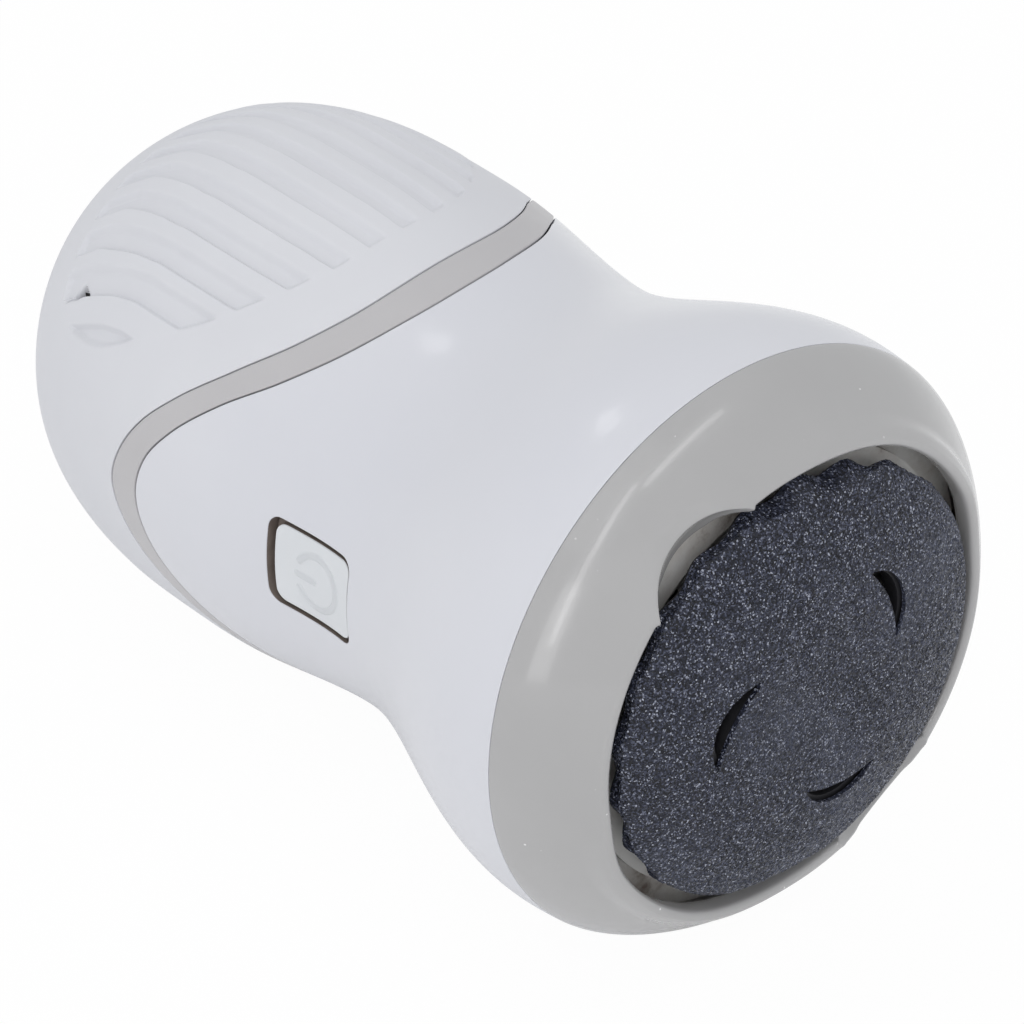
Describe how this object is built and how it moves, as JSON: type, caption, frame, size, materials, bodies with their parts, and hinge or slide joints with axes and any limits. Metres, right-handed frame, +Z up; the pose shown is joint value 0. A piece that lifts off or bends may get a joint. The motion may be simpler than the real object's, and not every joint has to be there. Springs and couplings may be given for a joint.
{
  "type": "electric callus remover",
  "caption": "Hand-held battery rotary foot file: waisted white body, ribbed grips, grey front ring and a replaceable domed abrasive disc with suction.",
  "frame": {"origin": "centre of the abrasive disc's flat working face", "axes": "+X out of the abrasive face along the spindle, -Y towards the power button, +Z up with the body lying on its side"},
  "size_m": [0.1235, 0.072, 0.072],
  "materials": {
    "gloss_white": "gloss",
    "matt_white": "satin",
    "satin_grey": "satin",
    "gloss_grey": "gloss",
    "black_rubber": "matt",
    "grit": "coarse abrasive grit",
    "dark_plastic": "moulded",
    "steel": "machined",
    "nickel": "plated",
    "grey_plastic": "moulded",
    "copper": "bare",
    "bronze": "sintered",
    "ferrite": "sintered",
    "black_plastic": "moulded",
    "felt": "felt",
    "board": "solder mask",
    "cell": "shrink sleeve"
  },
  "bodies": {
    "housing": {"main_housing": "gloss_white", "rear_cover": "matt_white", "trim_band": "satin_grey", "motor_can": "steel", "motor_end_cap": "black_plastic", "front_bushing": "bronze", "rear_bushing": "bronze", "field_magnets": "ferrite", "brushes": "copper", "motor_sleeve": "black_rubber", "motor_bulkhead": "grey_plastic", "motor_screws": "steel", "bulkhead_screws": "steel", "suction_plate": "grey_plastic", "dust_cup": "grey_plastic", "dust_sleeve": "grey_plastic", "filter_frame": "grey_plastic", "filter_mesh": "felt", "fan_inlet_plate": "grey_plastic", "tact_switch_body": "black_plastic", "switch_board": "board", "charging_port": "nickel", "port_board": "board", "battery_cell": "cell", "battery_cradle": "grey_plastic", "main_board": "board", "board_components": "black_plastic"},
    "spindle": {"drive_hub": "dark_plastic", "hub_magnet": "nickel", "motor_shaft": "steel", "fan_impeller": "grey_plastic", "armature_core": "steel", "armature_windings": "copper", "commutator": "copper"},
    "disc": {"abrasive_disc": "grit", "disc_carrier": "dark_plastic", "disc_steel_plate": "steel"},
    "ring": {"front_ring": "gloss_grey", "ring_seal": "black_rubber"},
    "button": {"power_button": "gloss_white"},
    "plunger": {"switch_plunger": "black_plastic"}
  },
  "joints": [
    {"name": "spindle_spin", "type": "hinge", "parent": "housing", "child": "spindle", "pos_m": [0, 0, 0], "axis": [1, 0, 0], "continuous": true},
    {"name": "disc_pull", "type": "slide", "parent": "spindle", "child": "disc", "axis": [1, 0, 0], "range_m": [0, 0.015]},
    {"name": "ring_pull", "type": "slide", "parent": "housing", "child": "ring", "axis": [1, 0, 0], "range_m": [0, 0.02]},
    {"name": "button_press", "type": "slide", "parent": "housing", "child": "button", "axis": [0, 1, 0], "range_m": [0, 0.0005], "stiffness_N_per_m": 3000},
    {"name": "plunger_press", "type": "slide", "parent": "housing", "child": "plunger", "axis": [0, 1, 0], "range_m": [0, 0.0005]}
  ],
  "couplings": [
    {"joint": "plunger_press", "follows": "button_press", "ratio": 1}
  ]
}
